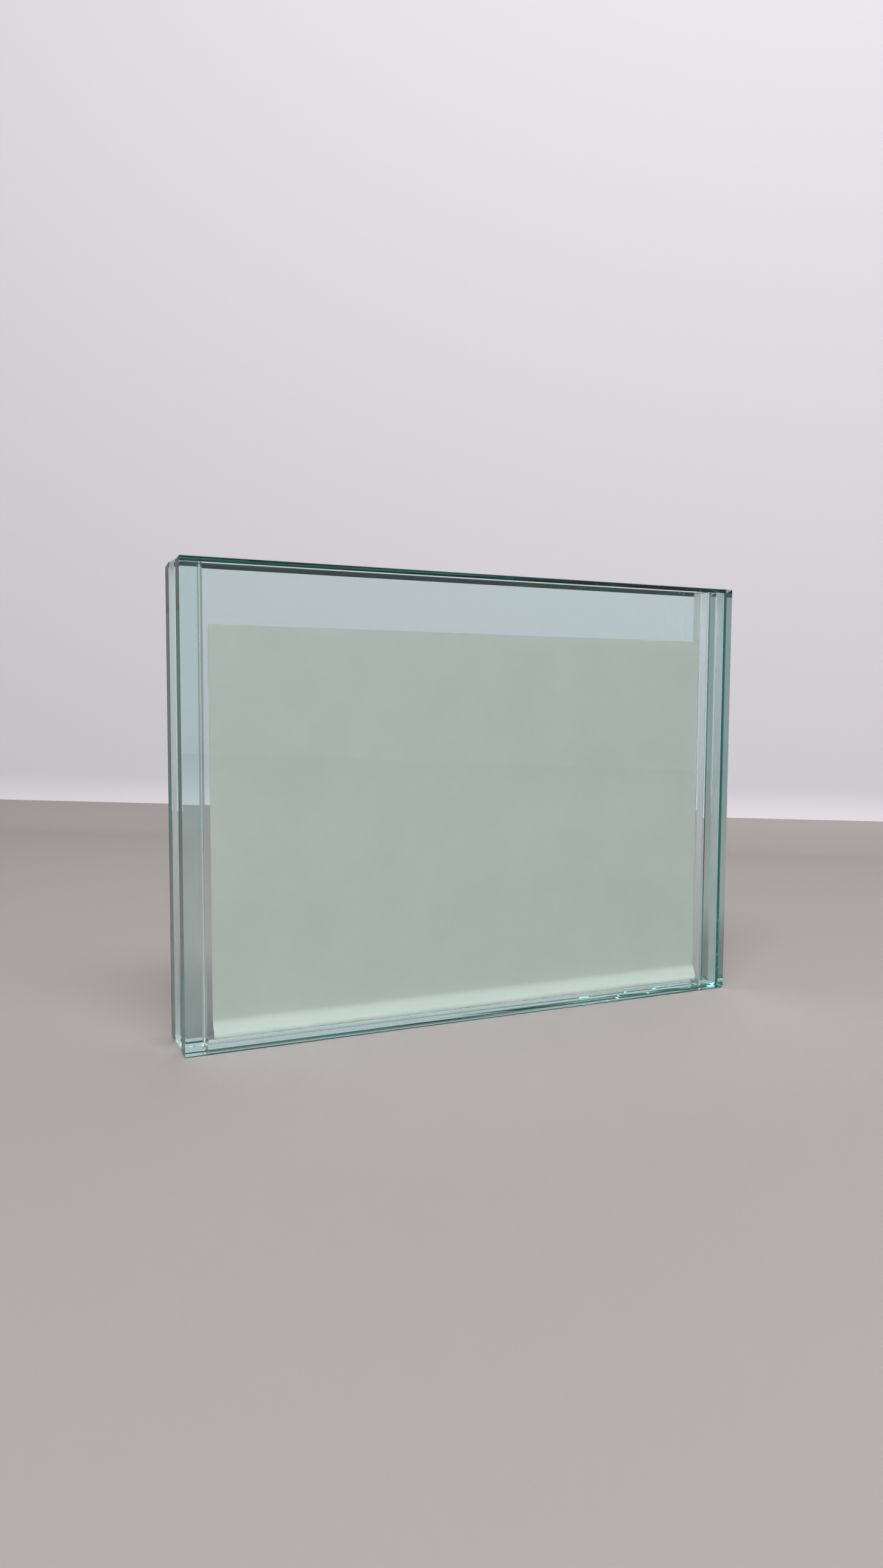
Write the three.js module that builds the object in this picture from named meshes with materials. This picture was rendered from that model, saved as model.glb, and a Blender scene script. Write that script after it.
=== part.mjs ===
// A free-standing picture frame of thick clear glass, landscape, in millimetres with +Z up.
// Two polished plates stand one behind the other. Strips of glass bonded between them along both ends
// and the bottom leave a pocket that is open at the top. A blank card stands in the pocket and slides
// up and out. The origin is at the middle of the footprint, on the surface that the frame stands on,
// with the viewed side towards -Y.

import * as THREE from 'three';

// Overall size of the block
const FRAME_LENGTH = 222;
const FRAME_HEIGHT = 164;

// Glass
const FRONT_GLASS = 8;
const BACK_GLASS = 8;
const SIDE_STRIP = 8.5;
const BOTTOM_STRIP = 3;
const PLATE_ARRIS = 0.6;
const SIDE_STRIP_ARRIS = 0.5;
const BOTTOM_STRIP_ARRIS = 0.5;

// Pocket between the plates, and the clear adhesive on each side of a strip
const POCKET_DEPTH = 10;
const BOND_FILM = 0.15;

// Card, and the room it has in the pocket
const CARD_THICKNESS = 0.5;
const CARD_SIDE_CLEARANCE = 2.3;
const CARD_HEADROOM = 21;
const CARD_TO_FRONT_GLASS = 1.8;

// Faces that the pieces share
const frameDepth = FRONT_GLASS + POCKET_DEPTH + BACK_GLASS;
const frontFaceY = -frameDepth / 2;
const pocketFrontY = frontFaceY + FRONT_GLASS;
const pocketBackY = pocketFrontY + POCKET_DEPTH;
const pocketLength = FRAME_LENGTH - 2 * SIDE_STRIP;
const stripDepth = POCKET_DEPTH - 2 * BOND_FILM;
const stripY = pocketFrontY + POCKET_DEPTH / 2;

const glass = {
  plate: new THREE.MeshStandardMaterial({
    color: 0xb9d6cd, roughness: 0.03, metalness: 0, transparent: true, opacity: 0.35,
  }),
  strip: new THREE.MeshStandardMaterial({
    color: 0x9fc9bc, roughness: 0.08, metalness: 0, transparent: true, opacity: 0.45,
  }),
};
const clearAdhesive = new THREE.MeshStandardMaterial({
  color: 0xdfe8e2, roughness: 0.1, metalness: 0, transparent: true, opacity: 0.5,
});
const paleCard = new THREE.MeshStandardMaterial({ color: 0xc9cdc0, roughness: 0.85, metalness: 0 });

const frame = new THREE.Group();

// Adds a named piece, centred on a point.
function addPiece(name, geometry, material, x, y, z) {
  const piece = new THREE.Mesh(geometry, material);
  piece.name = name;
  piece.position.set(x, y, z);
  frame.add(piece);
}

// A ground and polished block of glass: every edge carries a flat arris of the same width.
// The bevel widens the drawn outline by the arris, so the outline starts that much smaller, and
// its corner cuts are the share of the arris that the bevel leaves to them.
function polishedBlock(length, depth, height, arris) {
  const right = length / 2 - arris;
  const top = height / 2 - arris;
  const cut = arris * (Math.SQRT2 - 1);
  const outline = new THREE.Shape();
  outline.moveTo(right, cut - top);
  outline.lineTo(right, top - cut);
  outline.lineTo(right - cut, top);
  outline.lineTo(cut - right, top);
  outline.lineTo(-right, top - cut);
  outline.lineTo(-right, cut - top);
  outline.lineTo(cut - right, -top);
  outline.lineTo(right - cut, -top);
  outline.closePath();
  const block = new THREE.ExtrudeGeometry(outline, {
    depth: depth - 2 * arris,
    bevelEnabled: true,
    bevelThickness: arris,
    bevelSize: arris,
    bevelSegments: 1,
  });
  block.rotateX(Math.PI / 2);
  block.center();
  return block;
}

// Front and back plates

addPiece(
  'front_plate',
  polishedBlock(FRAME_LENGTH, FRONT_GLASS, FRAME_HEIGHT, PLATE_ARRIS),
  glass.plate,
  0, pocketFrontY - FRONT_GLASS / 2, FRAME_HEIGHT / 2,
);
addPiece(
  'back_plate',
  polishedBlock(FRAME_LENGTH, BACK_GLASS, FRAME_HEIGHT, PLATE_ARRIS),
  glass.plate,
  0, pocketBackY + BACK_GLASS / 2, FRAME_HEIGHT / 2,
);

// Strips that hold the plates apart: two uprights, with the bottom one lying flat between them

const sideStripX = (FRAME_LENGTH - SIDE_STRIP) / 2;
const strips = [
  { name: 'left', length: SIDE_STRIP, height: FRAME_HEIGHT, arris: SIDE_STRIP_ARRIS, x: -sideStripX },
  { name: 'right', length: SIDE_STRIP, height: FRAME_HEIGHT, arris: SIDE_STRIP_ARRIS, x: sideStripX },
  { name: 'bottom', length: pocketLength, height: BOTTOM_STRIP, arris: BOTTOM_STRIP_ARRIS, x: 0 },
];

for (const strip of strips) {
  addPiece(
    `${strip.name}_strip`,
    polishedBlock(strip.length, stripDepth, strip.height, strip.arris),
    glass.strip,
    strip.x, stripY, strip.height / 2,
  );
}

// Films of cured adhesive, where the flat of a strip's bonded face meets the flat of a plate

const bondedFaces = [
  { name: 'front', y: pocketFrontY + BOND_FILM / 2 },
  { name: 'back', y: pocketBackY - BOND_FILM / 2 },
];
const plateFlat = new THREE.Box2(
  new THREE.Vector2(PLATE_ARRIS - FRAME_LENGTH / 2, PLATE_ARRIS),
  new THREE.Vector2(FRAME_LENGTH / 2 - PLATE_ARRIS, FRAME_HEIGHT - PLATE_ARRIS),
);

for (const strip of strips) {
  const film = new THREE.Box2(
    new THREE.Vector2(strip.x - strip.length / 2, 0),
    new THREE.Vector2(strip.x + strip.length / 2, strip.height),
  );
  film.expandByScalar(-strip.arris).intersect(plateFlat);
  const size = film.getSize(new THREE.Vector2());
  const centre = film.getCenter(new THREE.Vector2());
  for (const face of bondedFaces) {
    addPiece(
      `${face.name}_${strip.name}_bond`,
      new THREE.BoxGeometry(size.x, BOND_FILM, size.y),
      clearAdhesive,
      centre.x, face.y, centre.y,
    );
  }
}

// Blank card, standing on the bottom strip close behind the front plate

const cardLength = pocketLength - 2 * CARD_SIDE_CLEARANCE;
const cardHeight = FRAME_HEIGHT - BOTTOM_STRIP - CARD_HEADROOM;

addPiece(
  'blank_card',
  new THREE.BoxGeometry(cardLength, CARD_THICKNESS, cardHeight),
  paleCard,
  0, pocketFrontY + CARD_TO_FRONT_GLASS + CARD_THICKNESS / 2, BOTTOM_STRIP + cardHeight / 2,
);

export default frame;
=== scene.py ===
"""Looks of a free-standing picture frame of thick clear glass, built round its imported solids.

Two polished plates are bonded to strips of glass at both ends and along the bottom, and a blank card
stands in the pocket between them. Every length is in metres, in the frame of the solids: +X along
the frame, -Y towards the viewer and +Z up.
"""

from __future__ import annotations

import logging
import math
from dataclasses import dataclass
from enum import Enum
from itertools import product
from typing import Any

import bmesh
import bpy
from mathutils import Matrix, Vector

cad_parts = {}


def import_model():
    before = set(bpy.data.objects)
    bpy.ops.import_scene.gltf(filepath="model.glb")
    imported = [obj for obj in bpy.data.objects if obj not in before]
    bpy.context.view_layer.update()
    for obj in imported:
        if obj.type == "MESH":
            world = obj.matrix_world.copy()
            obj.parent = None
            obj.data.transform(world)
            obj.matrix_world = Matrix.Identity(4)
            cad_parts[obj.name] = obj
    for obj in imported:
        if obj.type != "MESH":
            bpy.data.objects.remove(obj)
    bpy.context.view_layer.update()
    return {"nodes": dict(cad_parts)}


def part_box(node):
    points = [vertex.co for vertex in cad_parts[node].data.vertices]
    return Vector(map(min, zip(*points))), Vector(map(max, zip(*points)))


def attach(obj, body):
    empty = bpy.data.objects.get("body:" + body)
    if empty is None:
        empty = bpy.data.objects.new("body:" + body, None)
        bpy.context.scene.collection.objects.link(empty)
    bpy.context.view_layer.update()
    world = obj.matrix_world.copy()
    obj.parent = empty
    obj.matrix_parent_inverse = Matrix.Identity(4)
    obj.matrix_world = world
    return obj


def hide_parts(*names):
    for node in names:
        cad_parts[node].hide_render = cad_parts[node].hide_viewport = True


LOG = logging.getLogger("glass_frame")
MM = 0.001

# Half the side of a grid one unit wide, which is what create_grid takes as its size
UNIT_GRID = 0.5

# Noise of a mottled colour, and the noise levels at which it reaches its two tones
MOTTLE_NOISE = {"Detail": 4.0, "Roughness": 0.6}
MOTTLE_ENDS = (0.35, 0.65)

# Times that light may cross or mirror inside the block
GLASS_BOUNCES = 32

Shape = bmesh.types.BMesh
Nodes = bpy.types.NodeTree
Color = tuple[float, float, float]


class Slot(Enum):
    """The record's material slots."""

    PLATE_GLASS = "plate_glass"
    STRIP_GLASS = "strip_glass"
    CLEAR_ADHESIVE = "clear_adhesive"
    CARD = "card"


class Body(Enum):
    """The bodies that the pieces ride on."""

    GLASS_BLOCK = "glass_block"
    CARD = "card"


def add_node(tree: Nodes, kind: str, **inputs: Any) -> bpy.types.Node:
    """Adds a shader node and sets its unlinked inputs.

    Args:
        tree: The node tree to add to.
        kind: The node's Blender type.
        inputs: Values by input name, with underscores for spaces.

    Returns:
        The new node.
    """
    node = tree.nodes.new(kind)
    for name, value in inputs.items():
        node.inputs[name.replace("_", " ")].default_value = value
    return node


def new_material(name: str) -> tuple[bpy.types.Material, bpy.types.Node, bpy.types.Node]:
    """Makes a material of shader nodes.

    Args:
        name: Its name.

    Returns:
        The material, its Principled node and its output node.
    """
    material = bpy.data.materials.new(name)
    material.use_nodes = True
    nodes = material.node_tree.nodes
    return material, nodes["Principled BSDF"], nodes["Material Output"]


def patterned_bump(
    tree: Nodes, scale: float, detail: float, strength: float, depth: float
) -> bpy.types.Node:
    """Adds a bump of fractal noise in Object coordinates.

    Args:
        tree: The node tree to add to.
        scale: Noise cycles per metre.
        detail: Octaves of the noise.
        strength: Strength of the bump, from 0 to 1.
        depth: Height of the bump in metres.

    Returns:
        The Bump node, whose Normal output is ready to link.
    """
    place = add_node(tree, "ShaderNodeTexCoord")
    noise = add_node(tree, "ShaderNodeTexNoise", Scale=scale, Detail=detail)
    bump = add_node(tree, "ShaderNodeBump", Strength=strength, Distance=depth)
    tree.links.new(place.outputs["Object"], noise.inputs["Vector"])
    tree.links.new(noise.outputs["Fac"], bump.inputs["Height"])
    return bump


def mottled(tree: Nodes, scale: float, low: Color, high: Color) -> bpy.types.NodeSocket:
    """Adds a colour that drifts between two close tones.

    Args:
        tree: The material's node tree.
        scale: Noise cycles per metre.
        low: Colour where the noise is low.
        high: Colour where it is high.

    Returns:
        The socket that carries the colour.
    """
    place = add_node(tree, "ShaderNodeTexCoord")
    noise = add_node(tree, "ShaderNodeTexNoise", Scale=scale, **MOTTLE_NOISE)
    ramp = add_node(tree, "ShaderNodeValToRGB")
    for stop, level, color in zip(ramp.color_ramp.elements, MOTTLE_ENDS, (low, high)):
        stop.position, stop.color = level, (*color, 1.0)
    tree.links.new(place.outputs["Object"], noise.inputs["Vector"])
    tree.links.new(noise.outputs["Fac"], ramp.inputs["Fac"])
    return ramp.outputs["Color"]


def far_from_middle(tree: Nodes, axis: str, limit: float) -> bpy.types.NodeSocket:
    """Adds nodes that tell whether a point lies farther from the middle than a limit.

    Args:
        tree: The material's node tree.
        axis: X, Y or Z, along which the distance counts.
        limit: The distance in metres.

    Returns:
        The socket that carries 1 beyond the limit and 0 within it.
    """
    place = add_node(tree, "ShaderNodeTexCoord")
    split = add_node(tree, "ShaderNodeSeparateXYZ")
    distance = tree.nodes.new("ShaderNodeMath")
    distance.operation = "ABSOLUTE"
    beyond = tree.nodes.new("ShaderNodeMath")
    beyond.operation = "GREATER_THAN"
    beyond.inputs[1].default_value = limit
    tree.links.new(place.outputs["Object"], split.inputs["Vector"])
    tree.links.new(split.outputs[axis], distance.inputs[0])
    tree.links.new(distance.outputs["Value"], beyond.inputs[0])
    return beyond.outputs["Value"]


@dataclass(frozen=True)
class FloatGlass:
    """Clear float glass with the green of its iron, which deepens with the length of the path.

    Attributes:
        name: The material's name.
        absorbed: Red, green and blue absorbed per metre.
        ior: Refractive index.
        ripple: Height in metres of the faint waviness that drawing and polishing leave.
        ripple_per_metre: How close that waviness is.
        ground_beyond: Distance along the frame from its middle beyond which faces are fine-ground.
        ground_roughness: How rough they are, with 0 where every face is polished.
    """

    name: str
    absorbed: Color = (16.0, 4.6, 5.6)
    ior: float = 1.52
    ripple: float = 0.002 * MM
    ripple_per_metre: float = 18.0
    ground_beyond: float = 110.95 * MM
    ground_roughness: float = 0.0

    def material(self) -> bpy.types.Material:
        """Makes the material.

        Returns:
            The material.
        """
        material, glass, output = new_material(self.name)
        tree = material.node_tree
        glass.inputs["Base Color"].default_value = (1.0, 1.0, 1.0, 1.0)
        glass.inputs["IOR"].default_value = self.ior
        glass.inputs["Transmission Weight"].default_value = 1.0
        density = max(self.absorbed)
        passed = tuple(1.0 - share / density for share in self.absorbed)
        body = add_node(tree, "ShaderNodeVolumeAbsorption", Color=(*passed, 1.0), Density=density)
        tree.links.new(body.outputs["Volume"], output.inputs["Volume"])
        glass.inputs["Roughness"].default_value = 0.0
        if self.ground_roughness:
            grind = tree.nodes.new("ShaderNodeMath")
            grind.operation = "MULTIPLY"
            grind.inputs[1].default_value = self.ground_roughness
            tree.links.new(far_from_middle(tree, "X", self.ground_beyond), grind.inputs[0])
            tree.links.new(grind.outputs["Value"], glass.inputs["Roughness"])
        bump = patterned_bump(
            tree, scale=self.ripple_per_metre, detail=1.0, strength=1.0, depth=self.ripple
        )
        tree.links.new(bump.outputs["Normal"], glass.inputs["Normal"])
        return material


@dataclass(frozen=True)
class CuredAdhesive:
    """A thin film of clear adhesive, faintly clouded, too thin to bend the light that crosses it.

    Attributes:
        name: The material's name.
        clear: Colour where it is clearest.
        clouded: Colour where it is most clouded.
        cloud_per_metre: How close the clouds are.
    """

    name: str = "clear_cured_adhesive"
    clear: Color = (0.995, 1.0, 0.998)
    clouded: Color = (0.97, 0.985, 0.98)
    cloud_per_metre: float = 120.0

    def material(self) -> bpy.types.Material:
        """Makes the material.

        Returns:
            The material.
        """
        material, film, _ = new_material(self.name)
        clouds = mottled(material.node_tree, self.cloud_per_metre, self.clouded, self.clear)
        material.node_tree.links.new(clouds, film.inputs["Base Color"])
        film.inputs["Roughness"].default_value = 0.0
        film.inputs["IOR"].default_value = 1.0
        film.inputs["Transmission Weight"].default_value = 1.0
        return material


@dataclass(frozen=True)
class PaleCard:
    """Blank uncoated card: off-white, faintly mottled and finely fibrous, with a band of painted light
    along its foot and painted shade below that band.

    Attributes:
        name: The material's name.
        light: Its lightest colour, which shows in full only in the band of painted light along the foot.
        shade: The darker colour that its mottling drifts to.
        tones: Heights above the floor, and the share of those colours that shows there: low at the bottom
            for painted shade, full in the band of painted light above it, and the card's own share higher
            up.
        mottle_per_metre: How close the mottling is.
        fibre_per_metre: How close the fibres are.
        fibre_depth: How deep they are in metres.
        roughness: Roughness of the card.
        gloss: Strength of its surface reflection.
    """

    name: str = "pale_card"
    light: Color = (0.78, 0.75, 0.70)
    shade: Color = (0.742, 0.719, 0.669)
    tones: tuple[tuple[float, float], ...] = (
        (3.0 * MM, 0.6),
        (3.6 * MM, 0.75),
        (4.9 * MM, 1.0),
        (7.3 * MM, 1.0),
        (9.4 * MM, 0.83),
    )
    mottle_per_metre: float = 35.0
    fibre_per_metre: float = 2600.0
    fibre_depth: float = 0.04 * MM
    roughness: float = 0.85
    gloss: float = 0.3

    def material(self) -> bpy.types.Material:
        """Makes the material.

        Returns:
            The material.
        """
        material, card, _ = new_material(self.name)
        tree = material.node_tree
        colors = mottled(tree, self.mottle_per_metre, self.shade, self.light)
        # The band of light along the foot and the shade below it are painted into the card's colour
        tree.links.new(self.with_painted_foot_light_and_shade(tree, colors), card.inputs["Base Color"])
        bump = patterned_bump(
            tree, scale=self.fibre_per_metre, detail=3.0, strength=0.35, depth=self.fibre_depth
        )
        tree.links.new(bump.outputs["Normal"], card.inputs["Normal"])
        card.inputs["Roughness"].default_value = self.roughness
        card.inputs["Specular IOR Level"].default_value = self.gloss
        return material

    def with_painted_foot_light_and_shade(self, tree: Nodes, colors: bpy.types.NodeSocket) -> bpy.types.NodeSocket:
        """Scales colours by the card's tones, which paint shade at the bottom of the card and a band of
        light above it.

        Args:
            tree: The card's node tree.
            colors: The socket that carries the colours.

        Returns:
            The socket that carries the scaled colours.
        """
        top = self.tones[-1][0]
        place = add_node(tree, "ShaderNodeTexCoord")
        split = add_node(tree, "ShaderNodeSeparateXYZ")
        height = add_node(tree, "ShaderNodeMapRange", From_Max=top)
        ramp = tree.nodes.new("ShaderNodeValToRGB")
        stops = ramp.color_ramp.elements
        while len(stops) < len(self.tones):
            stops.new(1.0)
        for stop, (level, share) in zip(stops, self.tones):
            stop.position, stop.color = level / top, (share, share, share, 1.0)
        scaled = tree.nodes.new("ShaderNodeVectorMath")
        scaled.operation = "MULTIPLY"
        tree.links.new(place.outputs["Object"], split.inputs["Vector"])
        tree.links.new(split.outputs["Z"], height.inputs["Value"])
        tree.links.new(height.outputs["Result"], ramp.inputs["Fac"])
        tree.links.new(colors, scaled.inputs[0])
        tree.links.new(ramp.outputs["Color"], scaled.inputs[1])
        return scaled.outputs["Vector"]


@dataclass(frozen=True)
class PlainSurface:
    """A matt stage surface of one colour.

    Attributes:
        name: The material's name.
        color: Its colour.
        roughness: Its roughness.
    """

    name: str
    color: Color
    roughness: float = 0.8

    def material(self) -> bpy.types.Material:
        """Makes the material.

        Returns:
            The material.
        """
        material, surface, _ = new_material(self.name)
        surface.inputs["Base Color"].default_value = (*self.color, 1.0)
        surface.inputs["Roughness"].default_value = self.roughness
        return material


@dataclass(frozen=True)
class ShadedFloor:
    """The pale floor with painted shade under the glass, where the steepest sight lines through the glass
    end.

    Attributes:
        name: The material's name.
        color: Colour of the open floor.
        painted_shade_share: Share of that colour left in the painted shade under the glass.
        half_length: Half the length of the painted shade, along X.
        half_depth: Half its depth, along Y.
        roughness: Roughness of the floor.
    """

    name: str
    color: Color
    painted_shade_share: float = 0.12
    half_length: float = 110.6 * MM
    half_depth: float = 12.6 * MM
    roughness: float = 0.6

    def material(self) -> bpy.types.Material:
        """Makes the material.

        Returns:
            The material.
        """
        material, surface, _ = new_material(self.name)
        tree = material.node_tree
        # Painted shade under the glass: the floor's colour is scaled down within the glass's footprint
        outside = tree.nodes.new("ShaderNodeMath")
        outside.operation = "MAXIMUM"
        tree.links.new(far_from_middle(tree, "X", self.half_length), outside.inputs[0])
        tree.links.new(far_from_middle(tree, "Y", self.half_depth), outside.inputs[1])
        colors = add_node(tree, "ShaderNodeValToRGB")
        dark, pale = colors.color_ramp.elements
        dark.color = (*(share * self.painted_shade_share for share in self.color), 1.0)
        pale.color = (*self.color, 1.0)
        tree.links.new(outside.outputs["Value"], colors.inputs["Fac"])
        tree.links.new(colors.outputs["Color"], surface.inputs["Base Color"])
        surface.inputs["Roughness"].default_value = self.roughness
        return material


def show_piece(name: str, shape: Shape, material: bpy.types.Material) -> bpy.types.Object:
    """Turns a finished shape into an object at the origin, with its place in its mesh.

    Args:
        name: The object's name.
        shape: The shape, which is freed.
        material: Its material.

    Returns:
        The object.
    """
    mesh = bpy.data.meshes.new(name)
    shape.to_mesh(mesh)
    shape.free()
    mesh.materials.append(material)
    piece = bpy.data.objects.new(name, mesh)
    bpy.context.scene.collection.objects.link(piece)
    return piece


def place_piece(piece: bpy.types.Object, body: Body, node: str) -> bpy.types.Object:
    """Puts a piece on its body and hides the solid that it stands for.

    Args:
        piece: The piece.
        body: The body that it rides on.
        node: The solid that it replaces.

    Returns:
        The piece.
    """
    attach(piece, body.value)
    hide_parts(node)
    return piece


@dataclass(frozen=True)
class Arris:
    """Flat ground edges round the front or the rear face of a block.

    Attributes:
        top: Width taken from the top along the upper edge.
        face: Width taken from the front or rear face along the upper edge.
        foot: Width taken from the bottom and from that face along the lower edge.
        end: Width taken from the ends along the upright edges.
        side: Width taken from the front or rear face along the upright edges.
    """

    top: float
    face: float
    foot: float
    end: float
    side: float

    @classmethod
    def even(cls, width: float) -> Arris:
        """Arrises of one width all round."""
        return cls(top=width, face=width, foot=width, end=width, side=width)


def ground_block(low: Vector, high: Vector, front: Arris, rear: Arris) -> Shape:
    """Makes a block with a flat arris along every edge.

    Args:
        low: Lowest corner.
        high: Highest corner.
        front: The arrises round its face towards the viewer.
        rear: The arrises round its face away from the viewer.

    Returns:
        The closed shape.
    """
    shape = bmesh.new()
    for place in product((0, 1), repeat=3):
        arris = rear if place[1] else front
        corner = Vector([high[axis] if far else low[axis] for axis, far in enumerate(place)])
        inward = Vector([-1.0 if far else 1.0 for far in place])
        across, upright = (arris.top, arris.face) if place[2] else (arris.foot, arris.foot)
        # Grinding leaves three corners in place of one: on the end, on the face and on the level side
        on_end = (0.0, arris.end, upright)
        on_face = (arris.side, 0.0, upright)
        on_level = (arris.side, across, 0.0)
        for ground in (on_end, on_face, on_level):
            shape.verts.new(corner + Vector(ground) * inward)
    bmesh.ops.convex_hull(shape, input=shape.verts)
    return shape


@dataclass
class GlassBlock:
    """The bonded block: two plates, three strips and six films of adhesive.

    Every plate and strip is a closed body of its own, with a hair of room beside each film, so that
    it mirrors light along its own faces and shows its own dark edge, as the layers in the photo do.

    Attributes:
        nodes: The loaded solids by name.
        front_plate_arris: Front and rear arrises of the front plate.
        back_plate_arris: Front and rear arrises of the back plate.
        strip_arris: Front and rear arrises of each strip.
        film_room: Room between a piece of glass and a film beside it.
        butt_room: Room between the bottom strip and each upright one.
        strip_absorbed: Red, green and blue that the strips absorb per metre.
        ground_roughness: Roughness of the strips' fine-ground ends.
    """

    nodes: dict[str, bpy.types.Object]
    front_plate_arris: tuple[Arris, Arris] = (
        Arris.even(0.2 * MM),
        Arris(top=1.22 * MM, face=1.06 * MM, foot=0.65 * MM, end=1.5 * MM, side=0.6 * MM),
    )
    back_plate_arris: tuple[Arris, Arris] = (
        Arris.even(0.2 * MM),
        Arris(top=1.5 * MM, face=1.3 * MM, foot=0.9 * MM, end=1.3 * MM, side=0.5 * MM),
    )
    strip_arris: tuple[Arris, Arris] = (Arris.even(0.5 * MM), Arris.even(0.5 * MM))
    film_room: float = 0.02 * MM
    butt_room: float = 0.1 * MM
    strip_absorbed: Color = (6.0, 1.6, 2.4)
    ground_roughness: float = 0.7

    def build(self) -> list[bpy.types.Object]:
        """Builds every piece of glass and dresses the adhesive films.

        Returns:
            The new pieces.
        """
        film = Vector((0.0, self.film_room, 0.0))
        butt = Vector((self.butt_room, 0.0, 0.0))
        none = Vector((0.0, 0.0, 0.0))
        plate = FloatGlass("plate_float_glass").material()
        strip = FloatGlass(
            "strip_float_glass", absorbed=self.strip_absorbed, ground_roughness=self.ground_roughness
        ).material()
        pieces = [
            self.piece("front_plate", Slot.PLATE_GLASS, plate, self.front_plate_arris, none, film),
            self.piece("back_plate", Slot.PLATE_GLASS, plate, self.back_plate_arris, film, none),
            self.piece("left_strip", Slot.STRIP_GLASS, strip, self.strip_arris, film, film),
            self.piece("right_strip", Slot.STRIP_GLASS, strip, self.strip_arris, film, film),
            self.piece("bottom_strip", Slot.STRIP_GLASS, strip, self.strip_arris, film + butt, film + butt),
        ]
        self.dress_films()
        return pieces

    def piece(
        self,
        node: str,
        slot: Slot,
        glass: bpy.types.Material,
        arrises: tuple[Arris, Arris],
        before: Vector,
        after: Vector,
    ) -> bpy.types.Object:
        """Builds one ground and polished piece of glass.

        Args:
            node: The solid that it replaces.
            slot: Its material slot; not used.
            glass: Its material.
            arrises: Its front and its rear arrises.
            before: Room left inside the solid's lowest corner.
            after: Room left inside its highest corner.

        Returns:
            The piece.
        """
        low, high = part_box(node)
        piece = show_piece(f"{node}_glass", ground_block(low + before, high - after, *arrises), glass)
        return place_piece(piece, Body.GLASS_BLOCK, node)

    def dress_films(self) -> None:
        """Gives the films of adhesive their material."""
        adhesive = CuredAdhesive().material()
        for side, strip in product(("front", "back"), ("left", "right", "bottom")):
            film = self.nodes[f"{side}_{strip}_bond"]
            film.data.materials.clear()
            film.data.materials.append(adhesive)


@dataclass
class BlankCard:
    """The card in the pocket: it leans a little, and its foot is bent forward and tucked under.

    Attributes:
        columns: Faces along the card.
        rows: Faces up the card.
        crowding: Power that crowds the rows towards the foot.
        set_back: How far the card stands behind its solid.
        lean: How much farther back its upper edge is.
        bow: How far its middle bows back.
        bend: How far the foot comes forward.
        bend_low: Height above the lower edge up to which the foot is fully forward.
        bend_high: Height above the lower edge at which the bend starts.
        tuck: How far the lower edge goes back again.
        crease: Angle from which an edge is sharp.
    """

    columns: int = 30
    rows: int = 90
    crowding: float = 1.8
    set_back: float = 0.3 * MM
    lean: float = 0.7 * MM
    bow: float = 0.5 * MM
    bend: float = 1.95 * MM
    bend_low: float = 1.1 * MM
    bend_high: float = 6.7 * MM
    tuck: float = 0.35 * MM
    crease: float = math.radians(45.0)

    def build(self) -> bpy.types.Object:
        """Builds the card as one thin closed sheet.

        Returns:
            The card.
        """
        low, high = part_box("blank_card")
        size = high - low
        shape = bmesh.new()
        bmesh.ops.create_grid(shape, x_segments=self.columns, y_segments=self.rows, size=UNIT_GRID)
        bmesh.ops.scale(shape, vec=(size.x, size.z, 1.0), verts=shape.verts)
        upright = Matrix.Rotation(math.pi / 2, 3, "X")
        bmesh.ops.rotate(shape, cent=(0, 0, 0), matrix=upright, verts=shape.verts)
        bmesh.ops.translate(shape, vec=(low + high) / 2.0, verts=shape.verts)
        for corner in shape.verts:
            across = (corner.co.x - low.x) / size.x
            up = max((corner.co.z - low.z) / size.z, 0.0) ** self.crowding
            corner.co.z = low.z + up * size.z
            corner.co.y = low.y + self.behind(across, up, up * size.z)
        bmesh.ops.solidify(shape, geom=shape.faces[:], thickness=size.y)
        bmesh.ops.recalc_face_normals(shape, faces=shape.faces)
        for face in shape.faces:
            face.smooth = True
        for edge in shape.edges:
            edge.smooth = edge.calc_face_angle() < self.crease
        piece = show_piece("blank_card_sheet", shape, PaleCard().material())
        return place_piece(piece, Body.CARD, "blank_card")

    def behind(self, across: float, up: float, height: float) -> float:
        """How far behind its solid's front the card lies at a point, or before it if negative.

        Args:
            across: Share of the card's length from the left.
            up: Share of its height from the bottom.
            height: The point's height above the lower edge in metres.

        Returns:
            The distance in metres.
        """
        flat = self.set_back + self.lean * up
        bow = self.bow * math.sin(math.pi * up) * math.sin(math.pi * across)
        risen = min(max((height - self.bend_low) / (self.bend_high - self.bend_low), 0.0), 1.0)
        bend = self.bend * (1.0 - risen * risen * (3.0 - 2.0 * risen))
        tuck = self.tuck * max(1.0 - height / self.bend_low, 0.0) ** 2
        return flat + bow - bend + tuck


@dataclass(frozen=True)
class SoftBox:
    """A large soft lamp aimed at the frame.

    Attributes:
        name: Its name.
        bearing_deg: Its turn from straight in front of the frame, towards +X.
        height_deg: Its elevation above the floor.
        width: Its width in metres.
        depth: Its other side in metres.
        radiance: Its brightness as seen, where 1 shows as white.
        distance: Its distance in metres.
    """

    name: str
    bearing_deg: float
    height_deg: float
    width: float
    depth: float
    radiance: float
    distance: float = 2.0

    def build(self) -> None:
        """Builds the lamp."""
        lamp = bpy.data.lights.new(self.name, "AREA")
        lamp.shape = "RECTANGLE"
        lamp.size, lamp.size_y = self.width, self.depth
        lamp.energy = self.radiance * math.pi * self.width * self.depth
        bearing, height = math.radians(self.bearing_deg), math.radians(self.height_deg)
        level = Vector((math.sin(bearing), -math.cos(bearing), 0.0))
        away = level * math.cos(height) + Vector((0.0, 0.0, math.sin(height)))
        holder = bpy.data.objects.new(self.name, lamp)
        holder.location = away * self.distance
        holder.rotation_euler = away.to_track_quat("Z", "Y").to_euler()
        holder.visible_camera = False
        bpy.context.scene.collection.objects.link(holder)


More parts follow.
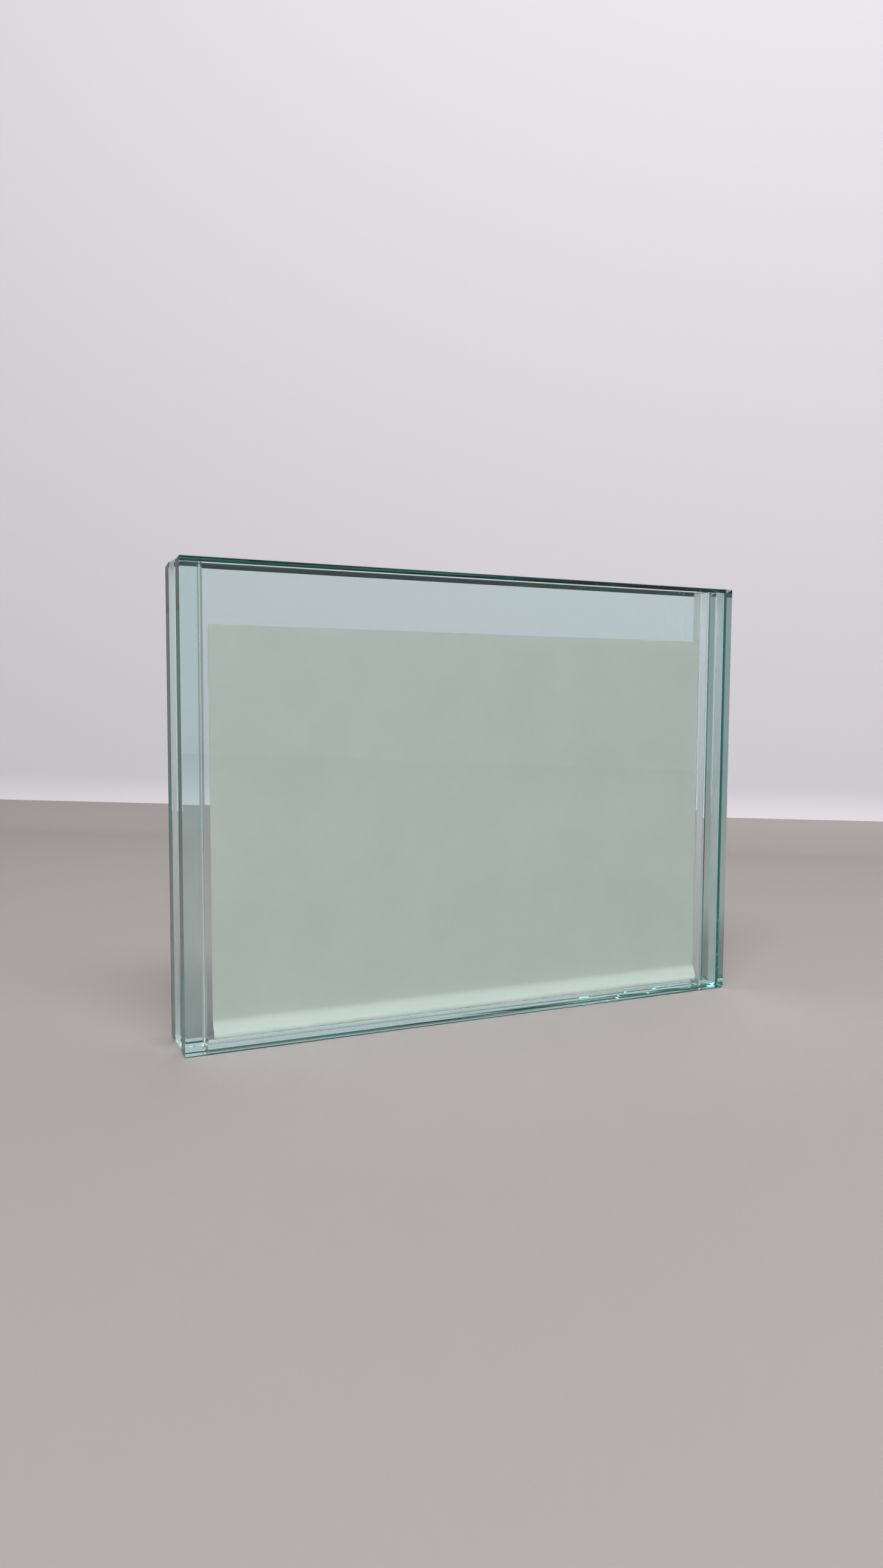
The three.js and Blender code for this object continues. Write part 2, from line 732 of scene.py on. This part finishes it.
@dataclass(frozen=True)
class PhotoView:
    """The camera as it was fitted to the frame's own edges in the photograph.

    Attributes:
        place: The lens, in the frame's own coordinates.
        bearing_deg: Turn of the view from straight on, towards +X.
        dip_deg: Tilt below the horizon.
        roll_deg: Turn about the line of sight.
        focal_px: Focal length in the photograph's pixels.
        long_side_px: Height of the photograph.
        sensor_mm: Sensor length that stands for that height.
        nearest: Distance in metres from which things show.
    """

    place: tuple[float, float, float] = (-0.1756, -0.3573, 0.1158)
    bearing_deg: float = 24.52
    dip_deg: float = 4.17
    roll_deg: float = 0.28
    focal_px: float = 1729.0
    long_side_px: float = 2576.0
    sensor_mm: float = 36.0
    nearest: float = 0.01

    def matrix(self) -> Matrix:
        """Works out the camera's placing.

        Returns:
            The matrix that places it in the world.
        """
        bearing, dip = math.radians(self.bearing_deg), math.radians(self.dip_deg)
        level = Vector((math.sin(bearing), math.cos(bearing), 0.0))
        sight = level * math.cos(dip) - Vector((0.0, 0.0, math.sin(dip)))
        turned = sight.to_track_quat("-Z", "Y").to_matrix().to_4x4()
        roll = Matrix.Rotation(math.radians(self.roll_deg), 4, "Z")
        return Matrix.Translation(self.place) @ turned @ roll


@dataclass
class Studio:
    """Plain floor and backdrop, soft light and the camera.

    Attributes:
        floor_drop: How far the floor lies below the frame.
        floor_color: Colour of the open floor.
        wall_color: Colour of the backdrop.
        wall_distance: Distance of the wall from the frame's middle.
        wall_turn_deg: Turn of floor and wall, clockwise from above.
        wall_left: Their reach to the left.
        wall_right: Their reach to the right.
        wall_height: Height of the wall.
        floor_forward: Reach of the floor towards the viewer.
        cove: Size of the curve between floor and wall.
        cove_faces: Faces round that curve.
        room_color: Colour of the dim light from all round.
        bright_way: Level direction from which it is strongest.
        dim_until: Cosine from that direction up to which it is weakest.
        bright_from: Cosine from which it is strongest.
        horizon_behind: Its strength at the horizon where it is weakest.
        horizon_front: Its strength at the horizon where it is strongest.
        zenith: Its strength overhead.
        zenith_from: Sine of the elevation above which it has that strength.
        lamps: The soft lamps.
    """

    floor_drop: float = 0.3 * MM
    floor_color: Color = (0.33, 0.298, 0.289)
    wall_color: Color = (0.68, 0.65, 0.69)
    wall_distance: float = 0.523
    wall_turn_deg: float = 36.2
    wall_left: float = 0.6
    wall_right: float = 1.6
    wall_height: float = 2.0
    floor_forward: float = 3.0
    cove: float = 0.05
    cove_faces: int = 24
    room_color: Color = (0.96, 0.98, 1.0)
    bright_way: tuple[float, float, float] = (0.6, -0.8, 0.0)
    dim_until: float = -0.8
    bright_from: float = 0.5
    horizon_behind: float = 0.32
    horizon_front: float = 0.45
    zenith: float = 0.34
    zenith_from: float = 0.8
    lamps: tuple[SoftBox, ...] = (
        SoftBox("soft_window", bearing_deg=-18.0, height_deg=58.0, width=1.5, depth=0.55, radiance=15.6),
        SoftBox("soft_fill", bearing_deg=-80.0, height_deg=25.0, width=1.4, depth=1.0, radiance=0.5),
        SoftBox("soft_side", bearing_deg=95.0, height_deg=12.0, width=1.2, depth=0.8, radiance=2.6),
    )

    def build(self) -> None:
        """Builds the floor, the backdrop, the world, the lamps and the camera."""
        self.backdrop()
        self.world()
        for lamp in self.lamps:
            lamp.build()
        self.camera()

    def backdrop(self) -> None:
        """Builds a floor that sweeps up into a wall behind the frame."""
        floor = bmesh.new()
        bmesh.ops.create_grid(floor, x_segments=1, y_segments=1, size=UNIT_GRID)
        for corner in floor.verts:
            corner.co.x = self.wall_right if corner.co.x > 0 else -self.wall_left
            corner.co.y = self.wall_distance if corner.co.y > 0 else -self.floor_forward
            corner.co.z = -self.floor_drop
        rear = [edge for edge in floor.edges if all(v.co.y > 0 for v in edge.verts)]
        risen = bmesh.ops.extrude_edge_only(floor, edges=rear)["geom"]
        top = [part for part in risen if isinstance(part, bmesh.types.BMVert)]
        bmesh.ops.translate(floor, vec=(0.0, 0.0, self.wall_height), verts=top)
        bmesh.ops.bevel(
            floor,
            geom=rear,
            offset=self.cove,
            segments=self.cove_faces,
            profile=0.5,
            affect="EDGES",
            material=-1,
        )
        turn = Matrix.Rotation(-math.radians(self.wall_turn_deg), 3, "Z")
        bmesh.ops.rotate(floor, cent=(0, 0, 0), matrix=turn, verts=floor.verts)
        # The floor's material comes first, and the wall's second, from halfway up the cove
        for face in floor.faces:
            face.smooth = True
            if face.calc_center_median().z > self.cove / 2:
                face.material_index = 1
        piece = show_piece("stage_sweep", floor, ShadedFloor("stage_floor", self.floor_color).material())
        piece.data.materials.append(PlainSurface("stage_wall", self.wall_color).material())

    def world(self) -> None:
        """Sets dim light from all round, weakest behind the frame to the left."""
        world = bpy.data.worlds.new("dim_room")
        world.use_nodes = True
        bpy.context.scene.world = world
        tree = world.node_tree
        lit = tree.nodes["Background"]
        lit.inputs["Color"].default_value = (*self.room_color, 1.0)
        place = add_node(tree, "ShaderNodeTexCoord")
        facing = tree.nodes.new("ShaderNodeVectorMath")
        facing.operation = "DOT_PRODUCT"
        facing.inputs[1].default_value = self.bright_way
        level = add_node(tree, "ShaderNodeMapRange", From_Min=self.dim_until, From_Max=self.bright_from)
        level.inputs["To Min"].default_value = self.horizon_behind
        level.inputs["To Max"].default_value = self.horizon_front
        level.interpolation_type = "SMOOTHSTEP"
        split = add_node(tree, "ShaderNodeSeparateXYZ")
        rise = add_node(tree, "ShaderNodeMapRange", From_Min=0.0, From_Max=self.zenith_from)
        rise.interpolation_type = "SMOOTHSTEP"
        strength = tree.nodes.new("ShaderNodeMix")
        strength.data_type = "FLOAT"
        strength.inputs["B"].default_value = self.zenith
        tree.links.new(place.outputs["Generated"], facing.inputs[0])
        tree.links.new(facing.outputs["Value"], level.inputs["Value"])
        tree.links.new(place.outputs["Generated"], split.inputs["Vector"])
        tree.links.new(split.outputs["Z"], rise.inputs["Value"])
        tree.links.new(rise.outputs["Result"], strength.inputs["Factor"])
        tree.links.new(level.outputs["Result"], strength.inputs["A"])
        tree.links.new(strength.outputs["Result"], lit.inputs["Strength"])

    def camera(self) -> None:
        """Sets up the photograph's camera: its place, its aim and its lens."""
        view = PhotoView()
        lens = bpy.data.cameras.new("photo_view")
        lens.sensor_width = view.sensor_mm
        lens.lens = view.focal_px / view.long_side_px * view.sensor_mm
        lens.clip_start = view.nearest
        eye = bpy.data.objects.new("photo_view", lens)
        bpy.context.scene.collection.objects.link(eye)
        eye.matrix_world = view.matrix()
        bpy.context.scene.camera = eye


def set_light_paths() -> None:
    """Lets light cross and mirror inside the block often enough, and keeps plain view colours.

    Sharp bounces stay sharp after a matt one, or the polished glass would hold light off the card.
    """
    scene = bpy.context.scene
    scene.view_settings.view_transform = "Standard"
    scene.cycles.blur_glossy = 0.0
    scene.cycles.max_bounces = GLASS_BOUNCES
    scene.cycles.transmission_bounces = GLASS_BOUNCES
    scene.cycles.glossy_bounces = GLASS_BOUNCES


def main() -> None:
    """Builds the frame's pieces in order."""
    logging.basicConfig(level=logging.INFO, format="%(name)s: %(message)s")
    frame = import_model()
    set_light_paths()
    Studio().build()
    pieces = [*GlassBlock(frame["nodes"]).build(), BlankCard().build()]
    for piece in pieces:
        LOG.info("built %s with %d faces", piece.name, len(piece.data.polygons))


if __name__ == "__main__":
    main()
